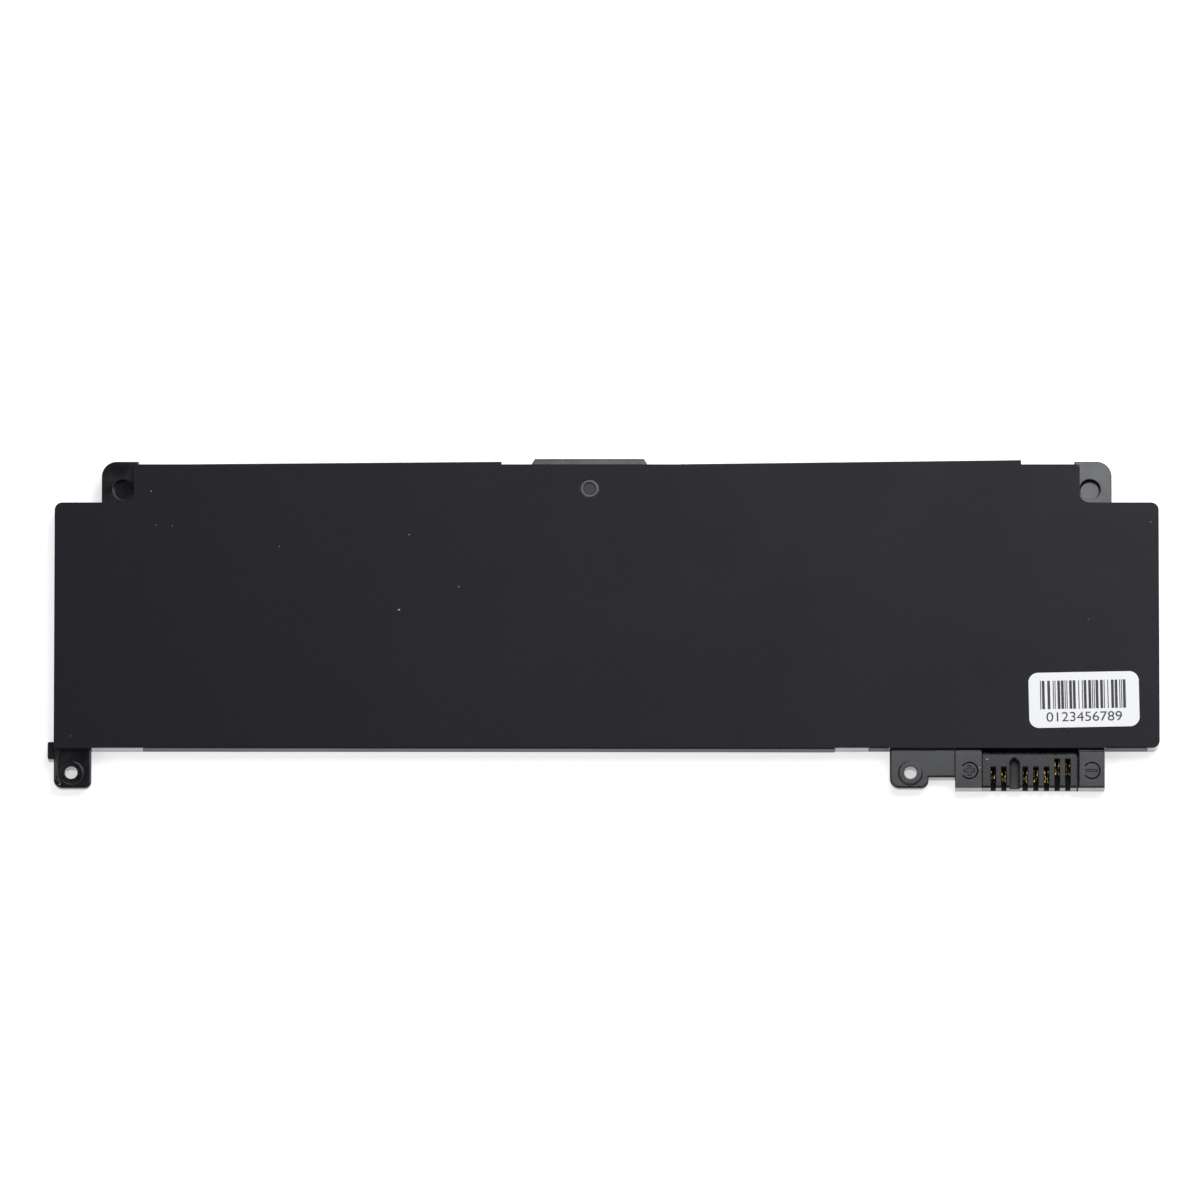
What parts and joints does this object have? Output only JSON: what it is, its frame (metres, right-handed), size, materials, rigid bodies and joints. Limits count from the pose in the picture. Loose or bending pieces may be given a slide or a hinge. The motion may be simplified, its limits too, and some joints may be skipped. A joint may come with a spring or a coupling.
{
  "type": "laptop battery",
  "caption": "Slim internal notebook battery: black moulded frame with screw lugs and latch lip, matte black film over pouch cells, slotted edge connector and a small white label.",
  "frame": {"origin": "under the middle of the whole outline, on the surface that the pack lies on", "axes": "+X along the pack's long side towards the connector, +Y from the connector edge to the latch lip, +Z out of the face with the white label"},
  "size_m": [0.2652, 0.0804, 0.0056],
  "materials": {
    "frame_plastic": "moulded, satin",
    "connector_plastic": "moulded, satin",
    "black_film": "matte polyester film",
    "sticker_paper": "smooth white label",
    "board_laminate": "green solder mask",
    "pouch_laminate": "satin laminated foil",
    "adhesive_tape": "double-sided tape",
    "strip_aluminium": "bare aluminium strip",
    "strip_nickel": "bare nickel strip",
    "insulating_tape": "amber polyimide tape",
    "gilt_contact": "gold flashed",
    "chip_resin": "moulded resin",
    "chip_ceramic": "fired ceramic"
  },
  "bodies": {
    "root": {"capacitors": "chip_ceramic", "cell_1": "pouch_laminate", "cell_2": "pouch_laminate", "cell_3": "pouch_laminate", "cell_tape_1": "adhesive_tape", "cell_tape_2": "adhesive_tape", "cell_tape_3": "adhesive_tape", "charge_switch": "chip_resin", "connector_housing": "connector_plastic", "contact_1": "gilt_contact", "contact_2": "gilt_contact", "contact_3": "gilt_contact", "contact_4": "gilt_contact", "contact_5": "gilt_contact", "contact_6": "gilt_contact", "contact_7": "gilt_contact", "discharge_switch": "chip_resin", "face_film": "black_film", "frame": "frame_plastic", "fuse": "chip_ceramic", "gauge_chip": "chip_resin", "negative_tab_1": "strip_nickel", "negative_tab_2": "strip_nickel", "negative_tab_3": "strip_nickel", "positive_tab_1": "strip_aluminium", "positive_tab_2": "strip_aluminium", "positive_tab_3": "strip_aluminium", "protection_board": "board_laminate", "protector_chip": "chip_resin", "resistors": "chip_ceramic", "sense_resistor": "chip_ceramic", "sticker": "sticker_paper", "tab_tape_1": "insulating_tape", "tab_tape_2": "insulating_tape", "tab_tape_3": "insulating_tape", "tab_tape_4": "insulating_tape", "tab_tape_5": "insulating_tape", "tab_tape_6": "insulating_tape", "thermistor": "chip_ceramic", "under_film": "black_film", "weld_plate_1": "strip_nickel", "weld_plate_2": "strip_nickel", "weld_plate_3": "strip_nickel", "weld_plate_4": "strip_nickel", "weld_plate_5": "strip_nickel", "weld_plate_6": "strip_nickel"}
  },
  "joints": []
}
